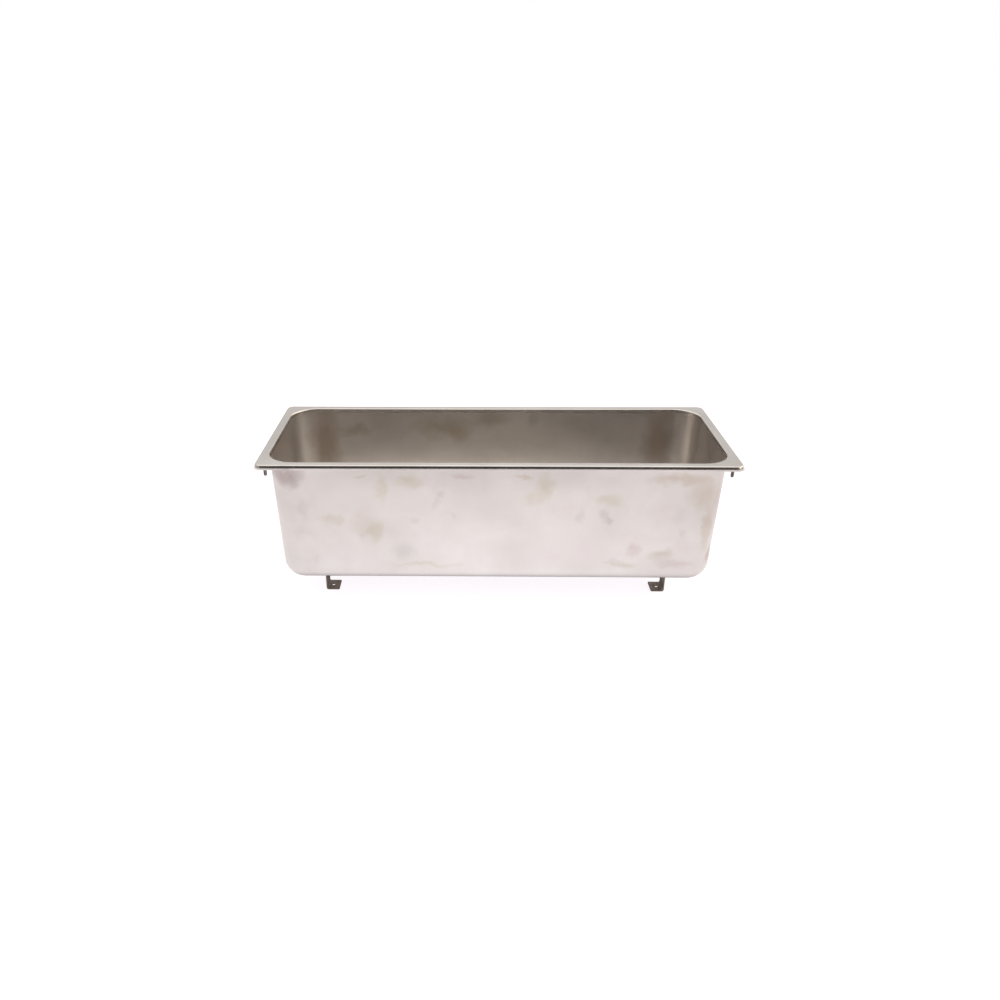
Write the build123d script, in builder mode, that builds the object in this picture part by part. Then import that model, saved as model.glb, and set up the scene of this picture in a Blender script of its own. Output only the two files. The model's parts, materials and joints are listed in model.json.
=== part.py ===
"""Open stainless tank for bulk milk: a drawn pan with a turned-down rim, four foot brackets, four
threaded studs under the rim corners, and a floor outlet closed by a lift-out stopper.

Millimetres. +X runs along the tank, +Y from front to back, +Z up. The origin is on the plane that the
feet stand on, under the middle of the tank.
"""

import os
from math import cos, radians, tan

from build123d import *

# Pan
RIM_LENGTH = 822.0
RIM_WIDTH = 306.6
TANK_DEPTH = 240.5  # top of the rim to the underside of the floor
SHEET = 1.2
WALL_INSET = 16.9  # edge of the rim to the outer face of the wall, at the rim
WALL_DRAFT = 2.5  # degrees
CORNER_RADIUS = 48.0  # outer face of the upright corners, at the rim
FLOOR_RADIUS = 35.0  # outer face of the bend between wall and floor
RIM_CORNER_RADIUS = 15.0
LIP_DROP = 7.9  # height of the turned-down edge
LIP_FLARE = 20.0  # degrees that the turned-down edge leans out
LIP_BEND = 2.4  # outer radius of the bend from rim to lip
FLANGE_BEND = 2.2  # outer radius of the bend from rim to wall
CUT_EDGE = 0.3  # rounding of the lip's cut edge

# Foot brackets
FOOT_HEIGHT = 42.5  # floor underside above the surface that the feet stand on
STRIP_WIDTH = 32.0
STRIP_THICKNESS = 2.0
STRIP_BEND = 2.0  # inner radius
LEG_SPAN = 631.0  # outer face of one leg to outer face of the other
FOOT_SPREAD = 128.0  # middle of a front bracket to middle of a rear one
FOOT_REACH = 24.0  # outer face of the leg to the tip of the foot
PAD_REACH = 22.0  # outer face of the leg to the tip of the welded pad
HOLE_FROM_LEG = 11.0  # outer face of the leg to the middle of the bolt hole
BOLT_CLEARANCE_HOLE = 6.5
STRIP_CORNER = 2.0

# Rim studs
STUD_DIAMETER = 6.0
STUD_LENGTH = 23.5
STUD_FROM_EDGE = 18.0  # edge of the rim to the middle of a stud, both ways
STUD_COLLAR_DIAMETER = 7.8
STUD_COLLAR_HEIGHT = 0.9
STUD_CHAMFER = 0.9

# Floor outlet
RECESS_DEPTH = 3.2
RECESS_DIAMETER = 82.0  # outer face of the pressed recess
RECESS_BEND = 2.0
OUTLET_BORE = 34.0
OUTLET_THREAD = 41.9
OUTLET_FLANGE_DIAMETER = 76.0
OUTLET_FLANGE = 1.5
OUTLET_LENGTH = 31.0  # recess underside to the end of the spigot
SPIGOT_DIAMETER = 40.0
SPIGOT_LENGTH = 18.0  # below the thread
OUTLET_HOLE_CLEARANCE = 0.6  # radial, round the neck
GASKET_THICKNESS = 1.5
GASKET_INSET = 1.0
WASHER_THICKNESS = 2.0
WASHER_DIAMETER = 58.0
LOCKNUT_ACROSS_FLATS = 55.0
LOCKNUT_HEIGHT = 9.0
THREAD_FIT = 0.05  # radial, between the neck and its locknut
END_CHAMFER = 1.2

# Stopper
HEAD_DIAMETER = 48.0
HEAD_HEIGHT = 3.0
HEAD_GAP = 0.1
SKIRT_FIT = 0.4  # radial, in the bore
SKIRT_DEPTH = 14.0
SKIRT_HOLLOW_WALL = 4.6
SEAL_SECTION = 3.0
SEAL_FIT = 0.1  # radial, between the seal and the bore
SEAL_DROP = 7.0  # top of the outlet flange to the middle of the seal
LUG_WIDTH = 9.0
LUG_THICKNESS = 4.0
EYE_HEIGHT = 2.2  # middle of the eye above the head
EYE_DIAMETER = 4.0

# Pull ring
RING_WIRE = 3.0
RING_DIAMETER = 34.0  # middle of the wire

# Places
RIM_TOP = FOOT_HEIGHT + TANK_DEPTH
FLANGE_UNDERSIDE = RIM_TOP - SHEET
FLOOR_TOP = FOOT_HEIGHT + SHEET
RECESS_TOP = FLOOR_TOP - RECESS_DEPTH
RECESS_UNDERSIDE = RECESS_TOP - SHEET
OUTLET_FLANGE_UNDERSIDE = RECESS_TOP + GASKET_THICKNESS
OUTLET_TOP = OUTLET_FLANGE_UNDERSIDE + OUTLET_FLANGE
OUTLET_END = RECESS_UNDERSIDE - OUTLET_LENGTH
WASHER_TOP = RECESS_UNDERSIDE - GASKET_THICKNESS
LOCKNUT_TOP = WASHER_TOP - WASHER_THICKNESS
HEAD_UNDERSIDE = OUTLET_TOP + HEAD_GAP
HEAD_TOP = HEAD_UNDERSIDE + HEAD_HEIGHT
EYE_Z = HEAD_TOP + EYE_HEIGHT
SEAL_Z = OUTLET_TOP - SEAL_DROP
SEAL_OUTER_RADIUS = OUTLET_BORE / 2 - SEAL_FIT
SEAL_MIDDLE_RADIUS = SEAL_OUTER_RADIUS - SEAL_SECTION / 2
NECK_HOLE_RADIUS = OUTLET_THREAD / 2 + OUTLET_HOLE_CLEARANCE
SHEET_ACROSS_WALL = SHEET / cos(radians(WALL_DRAFT))  # the sloping wall, measured level
SHEET_ACROSS_LIP = SHEET / cos(radians(LIP_FLARE))

CORNERS = {
    "front_left": (-1, -1),
    "front_right": (1, -1),
    "rear_left": (-1, 1),
    "rear_right": (1, 1),
}


def finish(part, name):
    """Labels one finished piece and writes its STEP file."""
    part.label = name
    export_step(part, os.path.join("parts", name + ".step"))


def tapered_block(inset, radius, depth, floor_radius):
    """The solid that one face of the pan's wall and floor encloses, from the rim's plane down."""
    with BuildPart() as block:
        with BuildSketch(Plane(origin=(0, 0, RIM_TOP), z_dir=(0, 0, -1))):
            RectangleRounded(RIM_LENGTH - 2 * inset, RIM_WIDTH - 2 * inset, radius)
        extrude(amount=depth, taper=WALL_DRAFT)
        fillet(block.faces().sort_by(Axis.Z)[0].edges(), radius=floor_radius)
    return block.part


def rim_block(inset, height, bend):
    """The solid under one face of the rim and its turned-down lip."""
    with BuildPart() as block:
        with BuildSketch(Plane.XY.offset(RIM_TOP - LIP_DROP)):
            RectangleRounded(RIM_LENGTH - 2 * inset, RIM_WIDTH - 2 * inset, RIM_CORNER_RADIUS - inset)
        extrude(amount=height, taper=LIP_FLARE)
        fillet(block.faces().sort_by(Axis.Z)[-1].edges(), radius=bend)
    return block.part


def face_at(part, height):
    """The largest level face at one height."""
    level = part.faces().filter_by(Axis.Z).filter_by_position(Axis.Z, height - 0.01, height + 0.01)
    return level.sort_by(SortBy.AREA)[-1]


def build_tank_shell():
    """The pan: walls, floor, rim, turned-down lip, and the pressed recess with the outlet's hole."""
    outside = tapered_block(WALL_INSET, CORNER_RADIUS, TANK_DEPTH, FLOOR_RADIUS)
    inside = tapered_block(
        WALL_INSET + SHEET_ACROSS_WALL,
        CORNER_RADIUS - SHEET_ACROSS_WALL,
        TANK_DEPTH - SHEET,
        FLOOR_RADIUS - SHEET,
    )
    rim = rim_block(0, LIP_DROP, LIP_BEND)
    rim_hollow = rim_block(SHEET_ACROSS_LIP, LIP_DROP - SHEET, LIP_BEND - SHEET)
    with BuildPart() as shell:
        add(rim)
        add(rim_hollow, mode=Mode.SUBTRACT)
        fillet(face_at(shell.part, RIM_TOP - LIP_DROP).edges(), radius=CUT_EDGE)
        add(outside)
        with BuildSketch(Plane.XY.offset(RECESS_UNDERSIDE)):
            Circle(RECESS_DIAMETER / 2)
        extrude(amount=RECESS_DEPTH)
        add(inside, mode=Mode.SUBTRACT)
        with BuildSketch(Plane.XY.offset(RECESS_TOP)):
            Circle(RECESS_DIAMETER / 2 - SHEET)
        extrude(amount=RECESS_DEPTH, mode=Mode.SUBTRACT)
        with BuildSketch(Plane.XY.offset(RECESS_UNDERSIDE)):
            Circle(NECK_HOLE_RADIUS)
        extrude(amount=SHEET, mode=Mode.SUBTRACT)

        fillet(face_at(shell.part, RIM_TOP).inner_wires()[0].edges(), radius=FLANGE_BEND)
        fillet(face_at(shell.part, FLANGE_UNDERSIDE).inner_wires()[0].edges(), radius=FLANGE_BEND - SHEET)
        fillet(face_at(shell.part, FLOOR_TOP).inner_wires()[0].edges(), radius=RECESS_BEND)
        fillet(face_at(shell.part, FOOT_HEIGHT).inner_wires()[0].edges(), radius=RECESS_BEND - SHEET)
    return shell.part


def build_foot_bracket(side, end):
    """One bent strip: a pad under the floor turned outwards, the leg, and a foot turned inwards."""
    leg = side * (LEG_SPAN - STRIP_THICKNESS) / 2
    pad_tip = leg + side * (PAD_REACH - STRIP_THICKNESS / 2)
    foot_tip = leg - side * (FOOT_REACH - STRIP_THICKNESS / 2)
    pad_z = FOOT_HEIGHT - STRIP_THICKNESS / 2
    foot_z = STRIP_THICKNESS / 2
    middle_y = end * FOOT_SPREAD / 2
    hole_x = side * (LEG_SPAN / 2 - HOLE_FROM_LEG)
    bend = STRIP_BEND + STRIP_THICKNESS / 2
    with BuildPart() as bracket:
        with BuildSketch(Plane.XZ.offset(-middle_y)):
            with BuildLine():
                FilletPolyline((pad_tip, pad_z), (leg, pad_z), (leg, foot_z), (foot_tip, foot_z), radius=bend)
            trace(line_width=STRIP_THICKNESS)
        extrude(amount=STRIP_WIDTH / 2, both=True)
        tips = bracket.faces().filter_by(Axis.X).sort_by(Axis.X)
        fillet((tips[0].edges() + tips[-1].edges()).filter_by(Axis.Z), radius=STRIP_CORNER)
        with Locations((hole_x, middle_y, STRIP_THICKNESS)):
            Hole(BOLT_CLEARANCE_HOLE / 2, depth=STRIP_THICKNESS)
    return bracket.part


def build_rim_stud(side, end):
    """One threaded stud, drawn at its outer diameter, with the collar that welds to the rim."""
    place = (side * (RIM_LENGTH / 2 - STUD_FROM_EDGE), end * (RIM_WIDTH / 2 - STUD_FROM_EDGE))
    with BuildPart() as stud:
        with BuildSketch(Plane.XY.offset(FLANGE_UNDERSIDE)):
            with Locations(place):
                Circle(STUD_DIAMETER / 2)
        extrude(amount=-STUD_LENGTH)
        chamfer(stud.edges().sort_by(Axis.Z)[0], length=STUD_CHAMFER)
        with BuildSketch(Plane.XY.offset(FLANGE_UNDERSIDE)):
            with Locations(place):
                Circle(STUD_COLLAR_DIAMETER / 2)
        extrude(amount=-STUD_COLLAR_HEIGHT)
    return stud.part


def build_outlet_body():
    """The flanged sleeve that lines the outlet's hole, with its threaded neck and plain spigot."""
    with BuildPart() as outlet:
        with BuildSketch(Plane.XY.offset(OUTLET_END)):
            Circle(SPIGOT_DIAMETER / 2)
        extrude(amount=SPIGOT_LENGTH)
        with BuildSketch(Plane.XY.offset(OUTLET_END + SPIGOT_LENGTH)):
            Circle(OUTLET_THREAD / 2)
        extrude(amount=OUTLET_TOP - OUTLET_END - SPIGOT_LENGTH)
        with BuildSketch(Plane.XY.offset(OUTLET_FLANGE_UNDERSIDE)):
            Circle(OUTLET_FLANGE_DIAMETER / 2)
        extrude(amount=OUTLET_FLANGE)
        fillet(outlet.faces().sort_by(Axis.Z)[-1].edges(), radius=OUTLET_FLANGE / 3)
        chamfer(outlet.faces().sort_by(Axis.Z)[0].edges(), length=END_CHAMFER)
        with Locations((0, 0, OUTLET_TOP)):
            Hole(OUTLET_BORE / 2)
        fillet(outlet.faces().sort_by(Axis.Z)[-1].inner_wires()[0].edges(), radius=OUTLET_FLANGE / 3)
    return outlet.part


def build_ring_seal(outer_radius, thickness, bottom):
    """A flat ring round the outlet's neck."""
    with BuildPart() as ring:
        with BuildSketch(Plane.XY.offset(bottom)):
            Circle(outer_radius)
            Circle(NECK_HOLE_RADIUS, mode=Mode.SUBTRACT)
        extrude(amount=thickness)
    return ring.part


def build_locknut():
    """The hexagon nut that draws the outlet down on its gasket."""
    with BuildPart() as nut:
        with BuildSketch(Plane.XY.offset(LOCKNUT_TOP)):
            RegularPolygon(LOCKNUT_ACROSS_FLATS / 2, 6, major_radius=False)
        extrude(amount=-LOCKNUT_HEIGHT)
        with BuildSketch(Plane.XY.offset(LOCKNUT_TOP - LOCKNUT_HEIGHT)):
            Circle(LOCKNUT_ACROSS_FLATS / 2)
        extrude(amount=LOCKNUT_HEIGHT, taper=-45, mode=Mode.INTERSECT)
        with Locations((0, 0, LOCKNUT_TOP)):
            Hole(OUTLET_THREAD / 2 + THREAD_FIT)
    return nut.part


def build_stopper_body():
    """The plug: a round head, a hollow skirt grooved for its seal, and a lug with the ring's eye."""
    skirt_radius = OUTLET_BORE / 2 - SKIRT_FIT
    with BuildPart() as plug:
        with BuildSketch(Plane.XY.offset(HEAD_UNDERSIDE)):
            Circle(HEAD_DIAMETER / 2)
        extrude(amount=HEAD_HEIGHT)
        fillet(plug.faces().sort_by(Axis.Z)[-1].edges(), radius=HEAD_HEIGHT / 2)
        with BuildSketch(Plane.XY.offset(HEAD_UNDERSIDE)):
            Circle(skirt_radius)
        extrude(amount=-SKIRT_DEPTH)
        chamfer(plug.faces().sort_by(Axis.Z)[0].edges(), length=END_CHAMFER)
        with BuildSketch(Plane.XY.offset(HEAD_UNDERSIDE - SKIRT_DEPTH)):
            Circle(skirt_radius - SKIRT_HOLLOW_WALL)
        extrude(amount=SKIRT_DEPTH - HEAD_HEIGHT, mode=Mode.SUBTRACT)
        with BuildSketch(Plane.XZ):
            with Locations((SEAL_MIDDLE_RADIUS, SEAL_Z)):
                Circle(SEAL_SECTION / 2)
            with Locations((SEAL_MIDDLE_RADIUS + SEAL_SECTION / 2, SEAL_Z)):
                Rectangle(SEAL_SECTION, SEAL_SECTION)
        revolve(axis=Axis.Z, mode=Mode.SUBTRACT)
        with BuildSketch(Plane.XZ):
            with Locations((0, EYE_Z)):
                Circle(LUG_WIDTH / 2)
            with Locations((0, (HEAD_TOP + EYE_Z) / 2)):
                Rectangle(LUG_WIDTH, EYE_HEIGHT)
        extrude(amount=LUG_THICKNESS / 2, both=True)
        with BuildSketch(Plane.XZ):
            with Locations((0, EYE_Z)):
                Circle(EYE_DIAMETER / 2)
        extrude(amount=LUG_THICKNESS, both=True, mode=Mode.SUBTRACT)
    return plug.part


def build_stopper_seal():
    """The round-section ring that seals the stopper in the bore."""
    with BuildPart() as seal:
        with BuildSketch(Plane.XZ):
            with Locations((SEAL_MIDDLE_RADIUS, SEAL_Z)):
                Circle(SEAL_SECTION / 2)
        revolve(axis=Axis.Z)
    return seal.part


def build_pull_ring():
    """The wire ring through the stopper's eye, lying level towards +X."""
    with BuildPart() as ring:
        with BuildSketch(Plane.XZ):
            with Locations((RING_DIAMETER, EYE_Z)):
                Circle(RING_WIRE / 2)
        revolve(axis=Axis((RING_DIAMETER / 2, 0, 0), (0, 0, 1)))
    return ring.part


os.makedirs("parts", exist_ok=True)
finish(build_tank_shell(), "tank_shell")
for corner, (side, end) in CORNERS.items():
    finish(build_foot_bracket(side, end), "foot_bracket_" + corner)
    finish(build_rim_stud(side, end), "rim_stud_" + corner)
finish(build_outlet_body(), "outlet_body")
finish(
    build_ring_seal(OUTLET_FLANGE_DIAMETER / 2 - GASKET_INSET, GASKET_THICKNESS, RECESS_TOP),
    "outlet_gasket",
)
finish(build_ring_seal(WASHER_DIAMETER / 2, GASKET_THICKNESS, WASHER_TOP), "outlet_lower_gasket")
finish(build_ring_seal(WASHER_DIAMETER / 2, WASHER_THICKNESS, LOCKNUT_TOP), "outlet_washer")
finish(build_locknut(), "outlet_locknut")
finish(build_stopper_body(), "stopper_body")
finish(build_stopper_seal(), "stopper_seal")
finish(build_pull_ring(), "pull_ring")
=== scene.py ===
"""Looks of the bulk milk tank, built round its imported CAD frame. Metres, in the frame's own axes."""

import json
import math

import bmesh
import bpy
from mathutils import Matrix, Vector, noise


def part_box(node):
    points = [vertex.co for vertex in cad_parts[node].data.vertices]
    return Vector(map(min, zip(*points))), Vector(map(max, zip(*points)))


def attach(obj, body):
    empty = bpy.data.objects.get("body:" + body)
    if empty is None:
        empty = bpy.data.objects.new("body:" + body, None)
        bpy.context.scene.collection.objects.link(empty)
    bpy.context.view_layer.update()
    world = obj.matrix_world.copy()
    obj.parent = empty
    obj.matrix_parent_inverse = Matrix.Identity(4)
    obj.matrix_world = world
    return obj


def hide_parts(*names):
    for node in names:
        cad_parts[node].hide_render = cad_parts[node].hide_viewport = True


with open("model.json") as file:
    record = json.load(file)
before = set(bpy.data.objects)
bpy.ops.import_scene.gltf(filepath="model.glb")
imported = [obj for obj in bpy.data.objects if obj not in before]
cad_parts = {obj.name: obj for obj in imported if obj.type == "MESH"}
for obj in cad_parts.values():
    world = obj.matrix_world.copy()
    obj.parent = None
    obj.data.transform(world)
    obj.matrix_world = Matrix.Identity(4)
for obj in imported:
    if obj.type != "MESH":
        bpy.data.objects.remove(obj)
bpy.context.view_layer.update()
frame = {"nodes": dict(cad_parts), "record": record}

# ---------------------------------------------------------------------------------------------------
# Sizes, read from the frame where it holds them
# ---------------------------------------------------------------------------------------------------
PAN_LOW, PAN_HIGH = (Vector(corner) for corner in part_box("tank_shell"))
RIM_TOP = PAN_HIGH.z
RIM_LENGTH = PAN_HIGH.x - PAN_LOW.x
RIM_WIDTH = PAN_HIGH.y - PAN_LOW.y
FLOOR_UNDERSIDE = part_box("foot_bracket_front_left")[1][2]

SHEET = 0.0012
DRAFT = math.radians(2.5)
WALL_INSET = 0.0169
CORNER_RADIUS = 0.048
FLOOR_RADIUS = 0.035
RIM_CORNER_RADIUS = 0.015
LIP_DROP = 0.0079
LIP_FLARE = math.radians(20)
LIP_BEND = 0.0024
FLANGE_BEND = 0.0022
CUT_EDGE = 0.0003
RECESS_RADIUS = 0.041
RECESS_BEND = 0.002
SHEET_ACROSS_WALL = SHEET / math.cos(DRAFT)
RECESS_UNDERSIDE = PAN_LOW.z
TAIL_HOLE_RADIUS = 0.02155


# ---------------------------------------------------------------------------------------------------
# Mesh helpers
# ---------------------------------------------------------------------------------------------------
CORNER_STEPS = 14
LONG_STEPS = 48
SHORT_STEPS = 18


def arc_points(centre, radius, start, end, steps):
    """Points along an arc in the profile's plane, both ends included; angles in degrees."""
    points = []
    for step in range(steps + 1):
        angle = math.radians(start + (end - start) * step / steps)
        points.append((centre[0] + radius * math.cos(angle), centre[1] + radius * math.sin(angle)))
    return points


def line_points(start, end, steps, margin=0.0012):
    """Inner points of a straight run, with one close to each end so that the bends stay crisp."""
    start = Vector(start)
    end = Vector(end)
    length = (end - start).length
    if length < 3 * margin:
        return []
    places = [margin / length]
    places += [step / steps for step in range(1, steps)]
    places.append(1 - margin / length)
    return [tuple(start.lerp(end, place)) for place in places]


def rounded_ring(half_length, half_width, radius, height):
    """One closed loop of points round a rectangle with rounded corners."""
    points = []
    corners = (
        (half_length - radius, half_width - radius, 0),
        (radius - half_length, half_width - radius, 90),
        (radius - half_length, radius - half_width, 180),
        (half_length - radius, radius - half_width, 270),
    )
    for index, (x, y, start) in enumerate(corners):
        for step in range(CORNER_STEPS + 1):
            angle = math.radians(start + 90 * step / CORNER_STEPS)
            points.append(Vector((x + radius * math.cos(angle), y + radius * math.sin(angle), height)))
        # the straight side from this corner's end to the next corner's start
        next_x, next_y, _ = corners[(index + 1) % 4]
        leave = math.radians(start + 90)
        reach_x, reach_y = radius * math.cos(leave), radius * math.sin(leave)
        last = Vector((x + reach_x, y + reach_y, height))
        first = Vector((next_x + reach_x, next_y + reach_y, height))
        steps = LONG_STEPS if index % 2 == 0 else SHORT_STEPS
        points += [last.lerp(first, step / steps) for step in range(1, steps)]
    return points


RING_COUNT = len(rounded_ring(1, 1, 0.1, 0))


def round_ring(radius, height):
    """One closed loop round a circle, with as many points as a rounded rectangle's."""
    points = []
    for index in range(RING_COUNT):
        angle = 2 * math.pi * (index + SHORT_STEPS / 2) / RING_COUNT
        points.append(Vector((radius * math.cos(angle), radius * math.sin(angle), height)))
    return points


def mesh_piece(name, body, material, vertices, faces):
    """A shaded mesh object that rides on a body."""
    mesh = bpy.data.meshes.new(name)
    mesh.from_pydata([tuple(v) for v in vertices], [], faces)
    bm = bmesh.new()
    bm.from_mesh(mesh)
    bmesh.ops.remove_doubles(bm, verts=bm.verts, dist=1e-7)
    bmesh.ops.recalc_face_normals(bm, faces=bm.faces)
    bm.to_mesh(mesh)
    bm.free()
    for polygon in mesh.polygons:
        polygon.use_smooth = True
    piece = bpy.data.objects.new(name, mesh)
    bpy.context.scene.collection.objects.link(piece)
    mesh.materials.append(material)
    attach(piece, body)
    return piece


def loft(rings, closed):
    """Vertices and quads through a list of equal loops; closed joins the last loop to the first."""
    vertices = [point for ring in rings for point in ring]
    count = len(rings[0])
    faces = []
    spans = len(rings) if closed else len(rings) - 1
    for span in range(spans):
        here = span * count
        there = (span + 1) % len(rings) * count
        for index in range(count):
            after = (index + 1) % count
            faces.append((here + index, here + after, there + after, there + index))
    return vertices, faces


# ---------------------------------------------------------------------------------------------------
# Materials
# ---------------------------------------------------------------------------------------------------
class Nodes:
    """Short calls for building one material's node tree."""

    def __init__(self, name):
        self.material = bpy.data.materials.new(name)
        self.material.use_nodes = True
        self.tree = self.material.node_tree
        self.shader = self.tree.nodes["Principled BSDF"]
        self.place = self.add("ShaderNodeTexCoord").outputs["Object"]

    def add(self, kind, **values):
        node = self.tree.nodes.new(kind)
        for key, value in values.items():
            setattr(node, key, value)
        return node

    def link(self, output, socket):
        self.tree.links.new(output, socket)

    def noise(self, scale, detail=4.0, stretch=(1, 1, 1), distortion=0.0):
        mapping = self.add("ShaderNodeMapping")
        mapping.inputs["Scale"].default_value = stretch
        self.link(self.place, mapping.inputs["Vector"])
        texture = self.add("ShaderNodeTexNoise")
        texture.inputs["Scale"].default_value = scale
        texture.inputs["Detail"].default_value = detail
        texture.inputs["Distortion"].default_value = distortion
        self.link(mapping.outputs["Vector"], texture.inputs["Vector"])
        return texture.outputs["Fac"]

    def spread(self, output, low, high, to_low=0.0, to_high=1.0):
        node = self.add("ShaderNodeMapRange")
        node.inputs["From Min"].default_value = low
        node.inputs["From Max"].default_value = high
        node.inputs["To Min"].default_value = to_low
        node.inputs["To Max"].default_value = to_high
        self.link(output, node.inputs["Value"])
        return node.outputs["Result"]

    def mix(self, amount, first, second, blend="MIX"):
        node = self.add("ShaderNodeMix", data_type="RGBA", blend_type=blend)
        for index, value in ((0, amount), (6, first), (7, second)):
            socket = node.inputs[index]
            if hasattr(value, "links"):
                self.link(value, socket)
            elif isinstance(value, (int, float)):
                socket.default_value = value
            else:
                socket.default_value = (*value, 1.0)
        return node.outputs[2]

    def maths(self, operation, first, second):
        node = self.add("ShaderNodeMath", operation=operation)
        for socket, value in zip(node.inputs, (first, second)):
            if hasattr(value, "links"):
                self.link(value, socket)
            else:
                socket.default_value = value
        return node.outputs[0]

    def bump(self, height, strength, distance):
        node = self.add("ShaderNodeBump")
        node.inputs["Strength"].default_value = strength
        node.inputs["Distance"].default_value = distance
        self.link(height, node.inputs["Height"])
        return node.outputs["Normal"]

    def finish(self, colour, roughness, normal=None, metallic=1.0):
        self.shader.inputs["Metallic"].default_value = metallic
        if hasattr(colour, "links"):
            self.link(colour, self.shader.inputs["Base Color"])
        else:
            self.shader.inputs["Base Color"].default_value = (*colour, 1.0)
        if hasattr(roughness, "links"):
            self.link(roughness, self.shader.inputs["Roughness"])
        else:
            self.shader.inputs["Roughness"].default_value = roughness
        if normal:
            self.link(normal, self.shader.inputs["Normal"])
        return self.material


GREY = (0.86, 0.86, 0.86)
YELLOW = (0.89, 0.87, 0.79)
BROWN = (0.82, 0.76, 0.68)
PINK = (0.88, 0.82, 0.82)
DARK_PINK = (0.70, 0.64, 0.64)
OLIVE = (0.80, 0.775, 0.70)
DARK_BROWN = (0.76, 0.69, 0.64)
# painted shade: a darker strip along the top of the front wall's outer face
PAINTED_TOP_SHADE = (0.91, 0.905, 0.905)
# painted light: a brighter stretch in the middle of the rear wall's inner face
PAINTED_MIDDLE_LIGHT = (1.18, 1.18, 1.16)

# faint stains on the front wall, and painted shade along its top: the middle's x and z, half length,
# half height, tint, strength
FRONT_STAINS_AND_SHADE = (
    # painted shade along the top of the front wall, not a stain
    (0.005, 0.264, 0.250, 0.034, PAINTED_TOP_SHADE, 1.0),
    (-0.360, 0.256, 0.034, 0.022, DARK_PINK, 1.0),
    (-0.345, 0.247, 0.012, 0.012, GREY, 0.8),
    (-0.233, 0.258, 0.010, 0.004, BROWN, 0.5),
    (-0.149, 0.247, 0.026, 0.012, YELLOW, 1.0),
    (-0.197, 0.234, 0.012, 0.030, YELLOW, 0.7),
    (-0.097, 0.223, 0.009, 0.007, GREY, 0.8),
    (-0.104, 0.206, 0.006, 0.012, GREY, 0.5),
    (-0.075, 0.183, 0.006, 0.010, GREY, 0.5),
    (-0.062, 0.255, 0.022, 0.007, PINK, 0.8),
    (-0.287, 0.172, 0.024, 0.012, BROWN, 0.5),
    (-0.225, 0.160, 0.030, 0.034, BROWN, 0.35),
    (-0.212, 0.150, 0.012, 0.022, YELLOW, 0.8),
    (-0.334, 0.190, 0.010, 0.026, GREY, 0.5),
    (-0.343, 0.148, 0.010, 0.016, GREY, 0.4),
    (-0.163, 0.110, 0.022, 0.016, GREY, 0.7),
    (-0.125, 0.083, 0.060, 0.005, YELLOW, 0.7),
    (-0.319, 0.094, 0.008, 0.008, GREY, 0.4),
    (-0.142, 0.171, 0.008, 0.006, GREY, 0.5),
    (-0.231, 0.137, 0.008, 0.005, GREY, 0.5),
    (0.044, 0.257, 0.016, 0.004, BROWN, 0.7),
    (0.082, 0.238, 0.016, 0.026, YELLOW, 1.0),
    (0.060, 0.214, 0.016, 0.014, YELLOW, 0.6),
    (0.192, 0.212, 0.024, 0.014, YELLOW, 0.8),
    (0.145, 0.178, 0.007, 0.018, GREY, 0.6),
    (0.186, 0.182, 0.010, 0.012, GREY, 0.9),
    (0.193, 0.174, 0.005, 0.008, GREY, 0.9),
    (0.310, 0.253, 0.052, 0.012, BROWN, 0.75),
    (0.352, 0.225, 0.030, 0.030, BROWN, 0.6),
    (0.364, 0.160, 0.010, 0.045, BROWN, 0.6),
    (0.315, 0.183, 0.014, 0.020, GREY, 0.4),
    (0.323, 0.150, 0.008, 0.010, GREY, 0.6),
    (0.241, 0.114, 0.012, 0.012, PINK, 0.8),
    (0.291, 0.103, 0.022, 0.012, OLIVE, 0.7),
    (0.222, 0.085, 0.030, 0.007, OLIVE, 0.6),
    (0.320, 0.086, 0.034, 0.008, PINK, 0.8),
    (0.378, 0.099, 0.008, 0.018, DARK_BROWN, 1.0),
    (0.384, 0.215, 0.012, 0.050, PINK, 0.8),
)

# on the inner face of the rear wall: a paler stretch in the middle, which is painted light, and darker
# stains
REAR_STAINS_AND_LIGHT = (
    # painted light in the middle of the rear wall's inner face
    (0.010, 0.200, 0.160, 0.080, PAINTED_MIDDLE_LIGHT, 1.0),
    (-0.100, 0.246, 0.060, 0.022, OLIVE, 1.0),
    (-0.070, 0.228, 0.020, 0.018, OLIVE, 0.6),
    (-0.007, 0.262, 0.040, 0.018, OLIVE, 0.8),
    (0.077, 0.266, 0.011, 0.016, GREY, 1.0),
    (0.174, 0.252, 0.045, 0.026, GREY, 0.6),
    (-0.336, 0.215, 0.030, 0.070, DARK_BROWN, 1.0),
    (0.326, 0.215, 0.034, 0.075, DARK_BROWN, 0.9),
    (-0.275, 0.240, 0.032, 0.012, OLIVE, 0.9),
)


# how far noise pushes a mark's outline about, from end to end, and how fine that noise is
WANDER_REACH = 0.034
WANDER_SCALE = 38
# a mark fades out between these shares of its half length and half height
MARK_FULL = 0.35
MARK_GONE = 1.25


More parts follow.
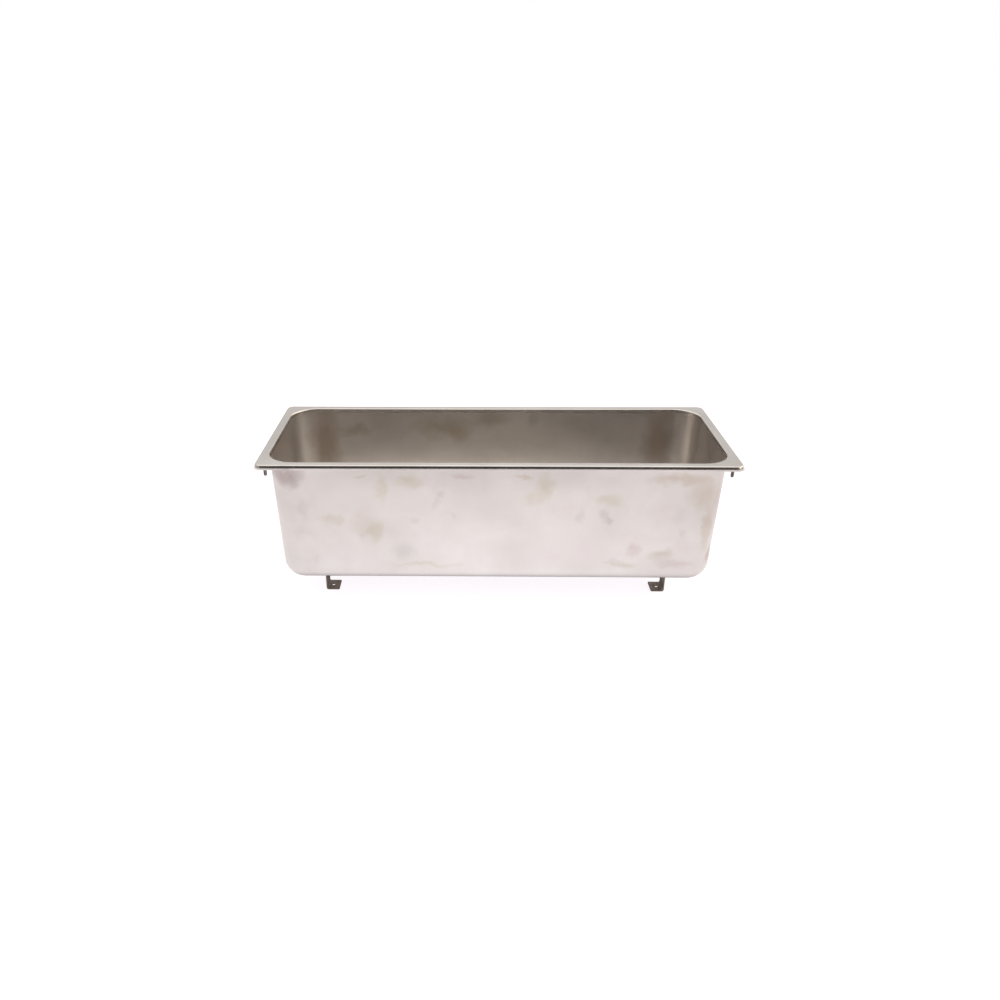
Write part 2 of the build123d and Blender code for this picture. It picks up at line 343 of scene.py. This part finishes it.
def stains_and_painted_light(nodes, base, facing, marks):
    """Tints the base colour with soft, wandering patches on the surface that the mask picks out:
    stains, and painted light and shade.
    """
    wander = nodes.add("ShaderNodeTexNoise")
    wander.inputs["Scale"].default_value = WANDER_SCALE
    wander.inputs["Detail"].default_value = 4
    nodes.link(nodes.place, wander.inputs["Vector"])
    shift = nodes.add("ShaderNodeVectorMath", operation="MULTIPLY_ADD")
    nodes.link(wander.outputs["Color"], shift.inputs[0])
    shift.inputs[1].default_value = (WANDER_REACH, 0.0, WANDER_REACH)
    nodes.link(nodes.place, shift.inputs[2])
    for x, z, half_length, half_height, tint, strength in marks:
        placed = nodes.add("ShaderNodeVectorMath", operation="MULTIPLY_ADD")
        nodes.link(shift.outputs[0], placed.inputs[0])
        placed.inputs[1].default_value = (1 / half_length, 0, 1 / half_height)
        # the noise moves a point by half of its reach on average
        middle_x = x + WANDER_REACH / 2
        middle_z = z + WANDER_REACH / 2
        placed.inputs[2].default_value = (-middle_x / half_length, 0, -middle_z / half_height)
        away = nodes.add("ShaderNodeVectorMath", operation="LENGTH")
        nodes.link(placed.outputs[0], away.inputs[0])
        amount = nodes.spread(away.outputs["Value"], MARK_FULL, MARK_GONE, strength, 0.0)
        base = nodes.mix(nodes.maths("MULTIPLY", amount, facing), base, tint, "MULTIPLY")
    return base


SHEET_PALE = (0.675, 0.652, 0.635)
SHEET_WARM = (0.61, 0.588, 0.565)
SHEET_PINKISH = (0.62, 0.565, 0.56)
GRAIN_SCALE = 2600
GRAIN_STRETCH = (0.03, 1, 1)
RIM_POLISH = 0.72


def pan_steel():
    """Drawn stainless sheet: fine grain, wiped smudges, faint warm and pinkish stains, and painted
    shade and light on the front and rear walls.
    """
    nodes = Nodes("pan_steel")
    patches = nodes.spread(nodes.noise(9, 5, distortion=0.6), 0.35, 0.7)
    pink = nodes.spread(nodes.noise(23, 4), 0.5, 0.72)
    base = nodes.mix(patches, SHEET_PALE, SHEET_WARM)
    base = nodes.mix(nodes.maths("MULTIPLY", pink, 0.5), base, SHEET_PINKISH)
    # the faces that look forward carry stains and painted light and shade: the front wall's outer one
    # and the rear wall's inner one
    split = nodes.add("ShaderNodeSeparateXYZ")
    nodes.link(nodes.add("ShaderNodeTexCoord").outputs["Normal"], split.inputs[0])
    forward = nodes.spread(split.outputs["Y"], -0.1, -0.5)
    place = nodes.add("ShaderNodeSeparateXYZ")
    nodes.link(nodes.place, place.inputs[0])
    front = nodes.maths("MULTIPLY", forward, nodes.maths("LESS_THAN", place.outputs["Y"], 0.0))
    rear = nodes.maths("MULTIPLY", forward, nodes.maths("GREATER_THAN", place.outputs["Y"], 0.0))
    base = stains_and_painted_light(nodes, base, front, FRONT_STAINS_AND_SHADE)
    base = stains_and_painted_light(nodes, base, rear, REAR_STAINS_AND_LIGHT)
    smudges = nodes.spread(nodes.noise(6, 6, stretch=(1, 1, 1.8), distortion=1.2), 0.4, 0.75)
    grain = nodes.noise(GRAIN_SCALE, 2, stretch=GRAIN_STRETCH)
    rough = nodes.spread(grain, 0.3, 0.7, 0.28, 0.32)
    rough = nodes.maths("ADD", rough, nodes.maths("MULTIPLY", smudges, 0.10))
    # handling has polished the rim and its lip
    rim = nodes.spread(place.outputs["Z"], RIM_TOP - 0.010, RIM_TOP - 0.006)
    rough = nodes.maths("MULTIPLY", rough, nodes.spread(rim, 0, 1, 1.0, RIM_POLISH))
    normal = nodes.bump(nodes.noise(30, 1), 0.25, 0.0006)
    return nodes.finish(base, rough, normal)


def dull_steel(name, dark, light, rough, metallic=1.0, edge_shade=None):
    """Hot-rolled or unpolished steel with scale and handling marks."""
    nodes = Nodes(name)
    base = nodes.mix(nodes.spread(nodes.noise(160, 6, distortion=0.4), 0.35, 0.68), dark, light)
    if edge_shade:
        # painted shade: the faces that look front and rear, the strip's sheared edges, are coloured
        # darker than its other faces
        split = nodes.add("ShaderNodeSeparateXYZ")
        nodes.link(nodes.add("ShaderNodeTexCoord").outputs["Normal"], split.inputs[0])
        shaded_faces = nodes.spread(nodes.maths("ABSOLUTE", split.outputs["Y"], 0.0), 0.6, 0.9)
        base = nodes.mix(shaded_faces, base, edge_shade)
    speckle = nodes.noise(1300, 3)
    roughness = nodes.spread(speckle, 0.3, 0.7, rough - 0.06, rough + 0.08)
    normal = nodes.bump(speckle, 0.18, 0.0003)
    return nodes.finish(base, roughness, normal, metallic)


def polished_steel(name):
    """Turned stainless with fine circular tool marks."""
    nodes = Nodes(name)
    turned = nodes.add("ShaderNodeTexWave", wave_type="RINGS", rings_direction="Z")
    turned.inputs["Scale"].default_value = 900
    turned.inputs["Distortion"].default_value = 0.4
    nodes.link(nodes.place, turned.inputs["Vector"])
    marks = turned.outputs["Fac"]
    tone = nodes.spread(nodes.noise(120, 4), 0.4, 0.7)
    base = nodes.mix(tone, (0.66, 0.64, 0.62), (0.58, 0.56, 0.54))
    rough = nodes.spread(marks, 0.0, 1.0, 0.16, 0.26)
    return nodes.finish(base, rough, nodes.bump(marks, 0.05, 0.0002))


def rubber(name, colour):
    """Moulded rubber with a fine matt skin and a dusting of pale bloom."""
    nodes = Nodes(name)
    bloom = nodes.spread(nodes.noise(220, 5), 0.45, 0.8, 0.0, 0.25)
    base = nodes.mix(bloom, colour, (0.2, 0.19, 0.18))
    rough = nodes.spread(bloom, 0, 0.25, 0.55, 0.75)
    return nodes.finish(base, rough, nodes.bump(nodes.noise(1500, 2), 0.1, 0.0002), metallic=0.0)


MATERIALS = {
    "pan_steel": pan_steel(),
    "bracket_steel": dull_steel(
        "bracket_steel",
        dark=(0.33, 0.285, 0.25),
        light=(0.50, 0.44, 0.39),
        rough=0.46,
        metallic=0.65,
        # painted shade for the brackets' faces that look front and rear
        edge_shade=(0.21, 0.18, 0.16),
    ),
    "stud_steel": dull_steel("stud_steel", (0.22, 0.20, 0.19), (0.40, 0.38, 0.36), 0.38),
    "outlet_steel": polished_steel("outlet_steel"),
    "gasket_rubber": rubber("gasket_rubber", (0.02, 0.02, 0.02)),
    "washer_steel": dull_steel("washer_steel", (0.42, 0.40, 0.38), (0.55, 0.53, 0.50), 0.34),
    "locknut_steel": dull_steel("locknut_steel", (0.46, 0.44, 0.41), (0.58, 0.56, 0.53), 0.30),
    "stopper_steel": polished_steel("stopper_steel"),
    "seal_rubber": rubber("seal_rubber", (0.10, 0.018, 0.014)),
    "ring_steel": polished_steel("ring_steel"),
}

WELD_STEEL = dull_steel("weld_steel", (0.20, 0.17, 0.15), (0.44, 0.40, 0.36), 0.34)


# ---------------------------------------------------------------------------------------------------
# The pan
# ---------------------------------------------------------------------------------------------------
def wall_inset(height, inner):
    """How far inside the rim's edge the wall's outer or inner face is at a height."""
    inset = WALL_INSET + (RIM_TOP - height) * math.tan(DRAFT)
    return inset + SHEET_ACROSS_WALL if inner else inset


def wall_profile(inner):
    """(inset, height) down one face of the wall: rim bend, wall, floor bend, start of the floor."""
    slope = math.degrees(DRAFT)
    level = RIM_TOP if inner else RIM_TOP - SHEET
    floor = FLOOR_UNDERSIDE + SHEET if inner else FLOOR_UNDERSIDE
    top_radius = FLANGE_BEND if inner else FLANGE_BEND - SHEET
    floor_radius = FLOOR_RADIUS - SHEET if inner else FLOOR_RADIUS
    # a bend that touches the level face and the sloping wall
    touch = math.tan(math.radians(45 - slope / 2))
    top_centre = (wall_inset(level, inner) - top_radius * touch, level - top_radius)
    floor_centre = (
        wall_inset(floor + floor_radius, inner) + floor_radius / math.cos(DRAFT),
        floor + floor_radius,
    )
    top_bend = arc_points(top_centre, top_radius, 90, slope, 8)
    floor_bend = arc_points(floor_centre, floor_radius, 180 + slope, 270, 20)
    wall = line_points(top_bend[-1], floor_bend[0], 14)
    return top_bend + wall + floor_bend


def lip_profile(inner):
    """(inset, height) up one face of the turned-down lip and round its bend to the rim."""
    lean = math.degrees(LIP_FLARE)
    level = RIM_TOP - SHEET if inner else RIM_TOP
    radius = LIP_BEND - SHEET if inner else LIP_BEND
    start = CUT_EDGE + (SHEET / math.cos(LIP_FLARE) if inner else 0)
    bottom = RIM_TOP - LIP_DROP + CUT_EDGE
    rise = level - radius * (1 - math.sin(LIP_FLARE)) - bottom
    tangent = (start + rise * math.tan(LIP_FLARE), bottom + rise)
    centre = (tangent[0] + radius * math.cos(LIP_FLARE), level - radius)
    part_way = (start + rise * 0.7 * math.tan(LIP_FLARE), bottom + rise * 0.7)
    return [(start, bottom), part_way] + arc_points(centre, radius, 180 - lean, 90, 9)


def cut_edge_profile():
    """(inset, height) round the lip's cut edge, from its inner face to its outer."""
    width = SHEET / math.cos(LIP_FLARE)
    centre = (CUT_EDGE + width / 2, RIM_TOP - LIP_DROP + CUT_EDGE)
    points = []
    for degrees in (330, 300, 270, 240, 210):
        angle = math.radians(degrees)
        points.append((centre[0] + width / 2 * math.cos(angle), centre[1] + CUT_EDGE * math.sin(angle)))
    return points


def pan_rings():
    """Every loop of the pan's skin, from the lip's cut edge over the inside and back underneath."""
    centre_sum = CORNER_RADIUS + WALL_INSET
    rings = []
    # close pairs of loops keep a bend or an edge crisp
    near = 0.001
    tight = 0.0003

    def add(inset, height, radius):
        rings.append(rounded_ring(RIM_LENGTH / 2 - inset, RIM_WIDTH / 2 - inset, radius, height))

    def follow(points):
        for inset, height in points:
            add(inset, height, centre_sum - inset)

    lip_outer = lip_profile(False)
    for inset, height in cut_edge_profile() + lip_outer:
        add(inset, height, RIM_CORNER_RADIUS - inset)
    inside = wall_profile(True)
    add(lip_outer[-1][0] + near, RIM_TOP, RIM_CORNER_RADIUS - lip_outer[-1][0])
    add(inside[0][0] - near, RIM_TOP, centre_sum - inside[0][0])
    follow(inside)
    # floor, recess and the outlet's hole
    floor = inside[-1][1]
    recess_top = floor - (FLOOR_UNDERSIDE - RECESS_UNDERSIDE)
    inner_recess = RECESS_RADIUS - SHEET
    edge_ring = rings[-1]
    lip_ring = round_ring(inner_recess + RECESS_BEND, floor)
    for share in (0.02, 0.3, 0.6, 0.9, 0.99):
        rings.append([a.lerp(b, share) for a, b in zip(edge_ring, lip_ring)])
    bend_centre = (inner_recess + RECESS_BEND, floor - RECESS_BEND)
    for radius, height in arc_points(bend_centre, RECESS_BEND, 90, 180, 6):
        rings.append(round_ring(radius, height))
    rings.append(round_ring(inner_recess, recess_top + 0.0001))
    rings.append(round_ring(inner_recess - 0.0002, recess_top))
    rings.append(round_ring(TAIL_HOLE_RADIUS + tight, recess_top))
    rings.append(round_ring(TAIL_HOLE_RADIUS, recess_top))
    rings.append(round_ring(TAIL_HOLE_RADIUS, RECESS_UNDERSIDE))
    rings.append(round_ring(TAIL_HOLE_RADIUS + tight, RECESS_UNDERSIDE))
    rings.append(round_ring(RECESS_RADIUS - tight, RECESS_UNDERSIDE))
    rings.append(round_ring(RECESS_RADIUS, RECESS_UNDERSIDE + tight))
    under_bend = RECESS_BEND - SHEET
    bend_centre = (RECESS_RADIUS + under_bend, FLOOR_UNDERSIDE - under_bend)
    for radius, height in arc_points(bend_centre, under_bend, 180, 90, 5):
        rings.append(round_ring(radius, height))
    outside = wall_profile(False)
    far_inset, far_height = outside[-1]
    far_ring = rounded_ring(
        RIM_LENGTH / 2 - far_inset, RIM_WIDTH / 2 - far_inset, centre_sum - far_inset, far_height
    )
    near_ring = rings[-1]
    for share in (0.01, 0.1, 0.4, 0.7, 0.98):
        rings.append([a.lerp(b, share) for a, b in zip(near_ring, far_ring)])
    follow(reversed(outside))
    # underside of the flange and inner face of the lip
    add(outside[0][0] - near, RIM_TOP - SHEET, centre_sum - outside[0][0])
    for inset, height in reversed(lip_profile(True)):
        add(inset, height, RIM_CORNER_RADIUS - inset)
    return rings


RIM_BOW = 0.0009
LONG_WALL_SLACK = 0.0009
END_WALL_SLACK = 0.0006


def hand_worked(point):
    """Small unevenness of the drawn sheet: slack walls, and long rim edges drawn in at the middle."""
    half_length = RIM_LENGTH / 2
    half_width = RIM_WIDTH / 2
    along = point.x / half_length
    across = point.y / half_width
    depth = (RIM_TOP - point.z) / (RIM_TOP - FLOOR_UNDERSIDE)
    side = math.copysign(1, point.y) * min(1, abs(across) * 1.4) ** 4
    bow = -RIM_BOW * (1 - along ** 2) * side
    wall = math.sin(math.pi * min(max(depth, 0), 1)) ** 0.7
    slack = noise.noise(Vector((point.x * 7, math.copysign(3, point.y), point.z * 9)))
    slack *= LONG_WALL_SLACK * wall
    end_slack = noise.noise(Vector((math.copysign(5, point.x), point.y * 9, point.z * 9)))
    end_slack *= END_WALL_SLACK * wall
    straight = max(0.0, 1 - abs(along) ** 12)
    end = min(1, abs(along)) ** 12
    # the slack starts 1 mm inside the wall's top and is whole 4 mm further in
    from_edge = min(half_length - abs(point.x), half_width - abs(point.y))
    in_wall = min(1.0, max(0.0, (from_edge - WALL_INSET - 0.001) / 0.004))
    return Vector((in_wall * end * end_slack, bow + in_wall * straight * side * slack, 0))


def build_pan():
    """The pan as one closed skin with the sheet's thickness, in place of the CAD's tank_shell."""
    rings = pan_rings()
    rings = [[point + hand_worked(point) for point in ring] for ring in rings]
    vertices, faces = loft(rings, closed=True)
    pan = mesh_piece("pan", "tank", MATERIALS["pan_steel"], vertices, faces)
    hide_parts("tank_shell")


# ---------------------------------------------------------------------------------------------------
# Threads and welds
# ---------------------------------------------------------------------------------------------------
CORNER_NAMES = ("front_left", "front_right", "rear_left", "rear_right")
STUD_RADIUS = 0.003
STUD_POINT = 0.0012
THREAD_PITCH = 0.001
THREAD_DEPTH = 0.00055
THREAD_SIDES = 28
THREAD_STEPS = 8
COLLAR_RADIUS = 0.0039
COLLAR_HEIGHT = 0.0009
BEAD_RADIUS = 0.0017
BEAD_RIPPLE = 0.0022
BEAD_SIDES = 12
BEAD_STEPS = 6
BEAD_STARTS = 0.003
BEAD_ENDS = 0.018
BEAD_BESIDE = 0.0005
BEAD_BELOW = 0.0012


def turned_rings(centre, profile):
    """Loops round an upright axis for each (radius, height); a radius may be a function of the turn."""
    rings = []
    for radius, height in profile:
        ring = []
        for index in range(THREAD_SIDES):
            turn = index / THREAD_SIDES
            reach = radius(turn) if callable(radius) else radius
            x = centre.x + reach * math.cos(2 * math.pi * turn)
            y = centre.y + reach * math.sin(2 * math.pi * turn)
            ring.append(Vector((x, y, height)))
        rings.append(ring)
    return rings


def capped(rings):
    """A loft with both of its end loops filled."""
    vertices, faces = loft(rings, closed=False)
    count = len(rings[0])
    faces.append(tuple(range(count)))
    faces.append(tuple(range(len(vertices) - count, len(vertices))))
    return vertices, faces


def threaded_radius(height, top, outer):
    """The radius of a helical thread at a height, for every share of a turn."""

    def radius(turn):
        phase = ((top - height) / THREAD_PITCH + turn) % 1.0
        return outer - THREAD_DEPTH * abs(2 * phase - 1) ** 1.2

    return radius


def build_stud(corner):
    """A threaded stud with its weld collar under the rim's corner."""
    node = "rim_stud_" + corner
    low, high = (Vector(point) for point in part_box(node))
    centre = (low + high) / 2
    outer = (high.x - low.x) / 2 - (COLLAR_RADIUS - STUD_RADIUS)
    point = low.z
    profile = [(outer * 0.55, point), (outer * 0.66, point), (outer - THREAD_DEPTH, point + 0.0009)]
    thread_top = high.z - COLLAR_HEIGHT - STUD_POINT
    thread_length = thread_top - point - STUD_POINT
    steps = round(thread_length / THREAD_PITCH * THREAD_STEPS)
    for step in range(steps + 1):
        height = point + STUD_POINT + thread_length * step / steps
        profile.append((threaded_radius(height, high.z, outer), height))
    profile += [
        (outer - THREAD_DEPTH, thread_top + 0.0003),
        (outer - THREAD_DEPTH, high.z - COLLAR_HEIGHT - 0.0002),
        (outer, high.z - COLLAR_HEIGHT),
        (COLLAR_RADIUS - 0.0003, high.z - COLLAR_HEIGHT + 0.00005),
        (COLLAR_RADIUS, high.z - COLLAR_HEIGHT + 0.0003),
        (COLLAR_RADIUS, high.z - 0.0002),
        (COLLAR_RADIUS - 0.0002, high.z),
    ]
    vertices, faces = capped(turned_rings(centre, profile))
    name = "threaded_stud_" + corner
    stud = mesh_piece(name, "tank", MATERIALS["stud_steel"], vertices, faces)
    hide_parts(node)


def bead_rings(start, end, seed):
    """Loops along one weld bead: overlapping ripples with tapered ends."""
    length = (end - start).length
    along = (end - start).normalized()
    across = along.cross(Vector((0, 0, 1)))
    steps = round(length / BEAD_RIPPLE * BEAD_STEPS)
    rings = []
    for step in range(steps + 1):
        share = step / steps
        place = start.lerp(end, share)
        ripple = (share * length / BEAD_RIPPLE) % 1.0
        wander = noise.noise(Vector((place.x * 300, place.y * 300, seed)))
        reach = BEAD_RADIUS * (0.82 + 0.18 * ripple ** 0.6 + 0.10 * wander)
        reach *= min(1.0, 0.25 + min(share, 1 - share) * length / 0.0020)
        ring = []
        for index in range(BEAD_SIDES):
            angle = 2 * math.pi * index / BEAD_SIDES
            rise = Vector((0, 0, reach * 0.7 * math.sin(angle)))
            ring.append(place + across * reach * math.cos(angle) + rise)
        rings.append(ring)
    return rings


def build_bracket_welds(corner):
    """The two weld beads that hold a bracket's pad to the floor's underside."""
    low, high = (Vector(point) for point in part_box("foot_bracket_" + corner))
    outer_x = low.x if corner.endswith("left") else high.x
    inward = 1 if corner.endswith("left") else -1
    height = high.z - BEAD_BELOW
    vertices = []
    faces = []
    for seed, y in enumerate((low.y - BEAD_BESIDE, high.y + BEAD_BESIDE)):
        start = Vector((outer_x + inward * BEAD_STARTS, y, height))
        end = Vector((outer_x + inward * BEAD_ENDS, y, height))
        points, sides = capped(bead_rings(start, end, seed + outer_x * 10))
        faces += [tuple(index + len(vertices) for index in side) for side in sides]
        vertices += points
    mesh_piece("bracket_weld_" + corner, "tank", WELD_STEEL, vertices, faces)


# ---------------------------------------------------------------------------------------------------
# CAD nodes that show as they are
# ---------------------------------------------------------------------------------------------------
def dress_nodes():
    """Gives each remaining CAD node the finish of its own slot."""
    for subpart in frame["record"]["subparts"]:
        node = frame["nodes"][subpart["node"]]
        material = MATERIALS[subpart["material_slot"]]
        if not node.material_slots:
            node.data.materials.append(material)
        for material_slot in node.material_slots:
            material_slot.material = material


# ---------------------------------------------------------------------------------------------------
# Stage
# ---------------------------------------------------------------------------------------------------
FLOOR_SIZE = 9
FLOOR_GLOW_NEAR = 1.12
FLOOR_GLOW_FAR = 0.65
FLOOR_GLOW_BEHIND = 0.95
FLOOR_SHOWN = 0.90
# where the pool of light fades, the floor behind turns pale, and the pan's shade ends, from the origin
POOL_START, POOL_END = 0.18, 0.65
BEHIND_START, BEHIND_END = 0.1, 0.9
SHADE_X_START, SHADE_X_END = 0.33, 0.41
SHADE_Y_START, SHADE_Y_END = 0.04, 0.135
ROOM_DARK = (0.030, 0.027, 0.024)
ROOM_BRIGHT = (0.72, 0.70, 0.68)
ROOM_TOP = (0.98, 0.93, 0.88)
ROOM_LIGHT = (4.4, 4.12, 3.82)
ROOM_LIGHT_SHOWN = (1.75, 1.67, 1.57)
# a first reflection counts one ray where the light is sampled and two where the ray runs into it
FIRST_REFLECTIONS = 2.5
ROOM_LOW = (0.16, 0.15, 0.14)
ROOM_RIGHT = (2.8, 2.50, 2.10)
ROOM_LEFT = (0.95, 0.91, 0.85)
REARWARD = (0, 1, 0)
UPWARD = (0, 0, 1)
RIGHTWARD = (1, 0, 0)
LEFTWARD = (-1, 0, 0)
LIGHT_ABOVE = (0, 0.50, 0.866)

LENS = 30.6
LENS_SHIFT = 0.0449
CAMERA_PLACE = (-0.0406, -1.4487, 0.8371)
CAMERA_TURN = 0.0236
CAMERA_DOWN = 25.39
CAMERA_ROLL = -0.0061


def build_stage():
    """The floor: plain and white to the camera, and a fading pool of light to the steel."""
    mesh = bpy.data.meshes.new("studio_floor")
    corners = [(FLOOR_SIZE * x, FLOOR_SIZE * y, 0) for x, y in ((-1, -1), (1, -1), (1, 1), (-1, 1))]
    mesh.from_pydata(corners, [], [(0, 1, 2, 3)])
    floor = bpy.data.objects.new("studio_floor", mesh)
    bpy.context.scene.collection.objects.link(floor)
    nodes = Nodes("studio_floor")
    # the pool of light round the object fades with distance, except behind it
    distance = nodes.add("ShaderNodeVectorMath", operation="LENGTH")
    nodes.link(nodes.place, distance.inputs[0])
    away = distance.outputs["Value"]
    glow = nodes.spread(away, POOL_START, POOL_END, FLOOR_GLOW_NEAR, FLOOR_GLOW_FAR)
    place = nodes.add("ShaderNodeSeparateXYZ")
    nodes.link(nodes.place, place.inputs[0])
    behind = nodes.spread(place.outputs["Y"], BEHIND_START, BEHIND_END, 0.0, FLOOR_GLOW_BEHIND)
    glow = nodes.maths("MAXIMUM", glow, behind)
    # the pan keeps it off the floor below, which shows in its reflections and not to the camera
    beside = nodes.spread(nodes.maths("ABSOLUTE", place.outputs["X"], 0.0), SHADE_X_START, SHADE_X_END)
    before = nodes.spread(nodes.maths("ABSOLUTE", place.outputs["Y"], 0.0), SHADE_Y_START, SHADE_Y_END)
    clear = nodes.maths("MAXIMUM", beside, before)
    nodes.shader.inputs["Emission Color"].default_value = (1.0, 0.965, 1.0, 1)
    seen = nodes.add("ShaderNodeLightPath").outputs["Is Camera Ray"]
    glow = nodes.mix(seen, nodes.maths("MULTIPLY", glow, clear), (FLOOR_SHOWN,) * 3)
    nodes.link(glow, nodes.shader.inputs["Emission Strength"])
    mesh.materials.append(nodes.finish((0.3, 0.29, 0.3), 0.9, None, 0.0))


def build_lights():
    """The studio round the object, as one world: there are no lamps."""
    world = bpy.data.worlds.new("studio")
    world.use_nodes = True
    tree = world.node_tree
    room = tree.nodes["Background"]
    direction = tree.nodes.new("ShaderNodeTexCoord").outputs["Generated"]

    def fade(colour, other, towards, start, end):
        """Turns from one colour of the room to another as the view turns towards a direction."""
        aim = tree.nodes.new("ShaderNodeVectorMath")
        aim.operation = "DOT_PRODUCT"
        tree.links.new(direction, aim.inputs[0])
        aim.inputs[1].default_value = towards
        share = tree.nodes.new("ShaderNodeMapRange")
        share.interpolation_type = "SMOOTHSTEP"
        share.inputs["From Min"].default_value = start
        share.inputs["From Max"].default_value = end
        tree.links.new(aim.outputs["Value"], share.inputs["Value"])
        shade = tree.nodes.new("ShaderNodeMix")
        shade.data_type = "RGBA"
        tree.links.new(share.outputs["Result"], shade.inputs[0])
        for socket, value in ((shade.inputs[6], colour), (shade.inputs[7], other)):
            if hasattr(value, "links"):
                tree.links.new(value, socket)
            else:
                socket.default_value = (*value, 1)
        return shade.outputs[2]

    # dim in front of the object, pale behind it, with lights high at its sides and above its rear
    shade = fade(ROOM_DARK, ROOM_BRIGHT, REARWARD, -0.70, 0.25)
    shade = fade(shade, fade(ROOM_LOW, ROOM_RIGHT, UPWARD, 0.12, 0.30), RIGHTWARD, 0.42, 0.80)
    shade = fade(shade, fade(ROOM_LOW, ROOM_LEFT, UPWARD, 0.12, 0.30), LEFTWARD, 0.42, 0.80)
    shade = fade(shade, ROOM_TOP, UPWARD, 0.50, 0.92)
    # the light above is toned down in first reflections, which would wash out the floor and the rim
    rays = tree.nodes.new("ShaderNodeLightPath")
    first = tree.nodes.new("ShaderNodeMath")
    first.operation = "LESS_THAN"
    tree.links.new(rays.outputs["Ray Depth"], first.inputs[0])
    first.inputs[1].default_value = FIRST_REFLECTIONS
    lamp = tree.nodes.new("ShaderNodeMix")
    lamp.data_type = "RGBA"
    tree.links.new(first.outputs["Value"], lamp.inputs[0])
    lamp.inputs[6].default_value = (*ROOM_LIGHT, 1)
    lamp.inputs[7].default_value = (*ROOM_LIGHT_SHOWN, 1)
    shade = fade(shade, lamp.outputs[2], LIGHT_ABOVE, 0.80, 0.95)
    tree.links.new(shade, room.inputs["Color"])
    # the backdrop itself shows plain white
    backdrop = tree.nodes.new("ShaderNodeBackground")
    backdrop.inputs["Color"].default_value = (1, 1, 1, 1)
    chooser = tree.nodes.new("ShaderNodeMixShader")
    tree.links.new(rays.outputs["Is Camera Ray"], chooser.inputs["Fac"])
    tree.links.new(room.outputs["Background"], chooser.inputs[1])
    tree.links.new(backdrop.outputs["Background"], chooser.inputs[2])
    tree.links.new(chooser.outputs["Shader"], tree.nodes["World Output"].inputs["Surface"])
    bpy.context.scene.world = world


def build_camera():
    """The camera: in front, a little left of the middle, and looking down."""
    camera = bpy.data.cameras.new("camera")
    camera.sensor_width = 36
    camera.lens = LENS
    camera.shift_x = LENS_SHIFT
    holder = bpy.data.objects.new("camera", camera)
    holder.location = CAMERA_PLACE
    turn = Matrix.Rotation(CAMERA_TURN, 3, "Z")
    tilt = Matrix.Rotation(math.radians(90 - CAMERA_DOWN), 3, "X")
    roll = Matrix.Rotation(CAMERA_ROLL, 3, "Z")
    holder.rotation_euler = (turn @ tilt @ roll).to_euler()
    bpy.context.scene.collection.objects.link(holder)
    bpy.context.scene.camera = holder


build_pan()
for corner in CORNER_NAMES:
    build_stud(corner)
    build_bracket_welds(corner)
dress_nodes()
build_stage()
build_lights()
build_camera()
bpy.context.scene.view_settings.view_transform = "Standard"
